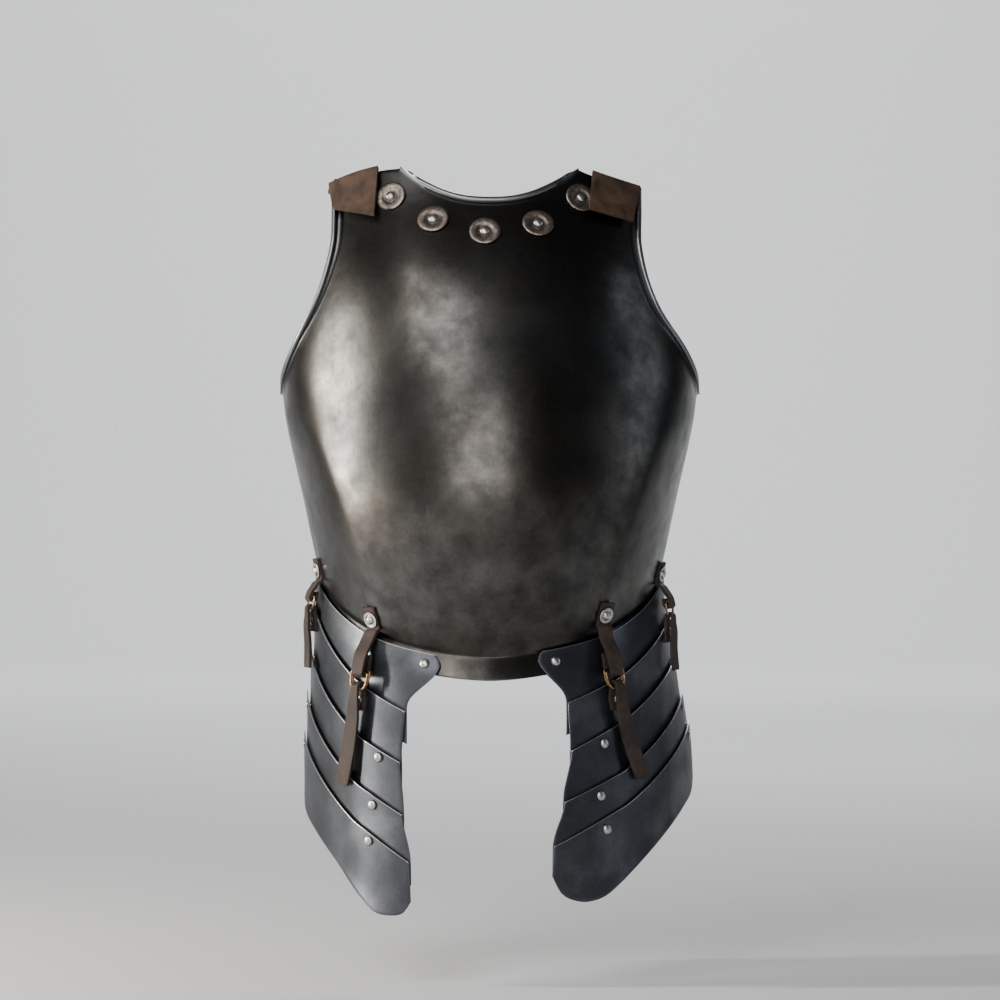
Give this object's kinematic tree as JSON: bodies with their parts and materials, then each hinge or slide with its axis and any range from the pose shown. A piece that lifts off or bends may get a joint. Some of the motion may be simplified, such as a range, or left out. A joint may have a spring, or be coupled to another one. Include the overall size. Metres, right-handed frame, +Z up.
{
  "type": "steel breastplate with two tassets",
  "caption": "Plain steel breastplate with rolled neck and arm edges, neckline rosettes, and two tassets of riveted lames hung on leather straps with D-rings.",
  "frame": {"origin": "midway between the shoulders, level with the top of the plate and in the plane of its side edges", "axes": "+Z up, +Y towards the wearer's back, so the chest faces -Y; +X is to the right of someone who faces the plate"},
  "size_m": [0.3708, 0.1903, 0.6349],
  "materials": {
    "blackened_plate_steel": "hand-planished steel, blackened and mottled, satin with brighter worn ridges",
    "lame_steel": "smooth blue-grey steel, satin, with brighter edges",
    "brown_leather": "worn brown vegetable-tanned strap leather, darker and cracked at the folds",
    "milled_steel": "bright warm steel with fine radial milling and a dark dished middle",
    "domed_rivet_steel": "polished domed steel, slightly tarnished round the foot",
    "ring_brass": "tarnished brass wire"
  },
  "bodies": {
    "root": {"breastplate": "blackened_plate_steel", "left_shoulder_strap": "brown_leather", "right_shoulder_strap": "brown_leather", "rosette_left_end": "milled_steel", "rosette_rivet_left_end": "domed_rivet_steel", "rosette_left": "milled_steel", "rosette_rivet_left": "domed_rivet_steel", "rosette_middle": "milled_steel", "rosette_rivet_middle": "domed_rivet_steel", "rosette_right": "milled_steel", "rosette_rivet_right": "domed_rivet_steel", "rosette_right_end": "milled_steel", "rosette_rivet_right_end": "domed_rivet_steel", "left_tasset_lame_1": "lame_steel", "left_tasset_lame_2": "lame_steel", "left_tasset_lame_3": "lame_steel", "left_tasset_lame_4": "lame_steel", "left_tasset_lame_5": "lame_steel", "left_tip_rivet": "domed_rivet_steel", "left_lame_rivet_3": "domed_rivet_steel", "left_rear_lame_rivet_3": "domed_rivet_steel", "left_lame_rivet_4": "domed_rivet_steel", "left_rear_lame_rivet_4": "domed_rivet_steel", "left_lame_rivet_5": "domed_rivet_steel", "left_rear_lame_rivet_5": "domed_rivet_steel", "right_tasset_lame_1": "lame_steel", "right_tasset_lame_2": "lame_steel", "right_tasset_lame_3": "lame_steel", "right_tasset_lame_4": "lame_steel", "right_tasset_lame_5": "lame_steel", "right_tip_rivet": "domed_rivet_steel", "right_lame_rivet_3": "domed_rivet_steel", "right_rear_lame_rivet_3": "domed_rivet_steel", "right_lame_rivet_4": "domed_rivet_steel", "right_rear_lame_rivet_4": "domed_rivet_steel", "right_lame_rivet_5": "domed_rivet_steel", "right_rear_lame_rivet_5": "domed_rivet_steel", "left_front_upper_strap": "brown_leather", "left_front_strap_rivet": "domed_rivet_steel", "left_front_lower_strap": "brown_leather", "left_front_lower_rivet": "domed_rivet_steel", "left_front_ring_1": "ring_brass", "left_front_ring_2": "ring_brass", "right_front_upper_strap": "brown_leather", "right_front_strap_rivet": "domed_rivet_steel", "right_front_lower_strap": "brown_leather", "right_front_lower_rivet": "domed_rivet_steel", "right_front_ring_1": "ring_brass", "right_front_ring_2": "ring_brass", "left_side_upper_strap": "brown_leather", "left_side_strap_rivet": "domed_rivet_steel", "left_side_lower_strap": "brown_leather", "left_side_lower_rivet": "domed_rivet_steel", "left_side_ring_1": "ring_brass", "right_side_upper_strap": "brown_leather", "right_side_strap_rivet": "domed_rivet_steel", "right_side_lower_strap": "brown_leather", "right_side_lower_rivet": "domed_rivet_steel", "right_side_ring_1": "ring_brass"}
  },
  "joints": []
}
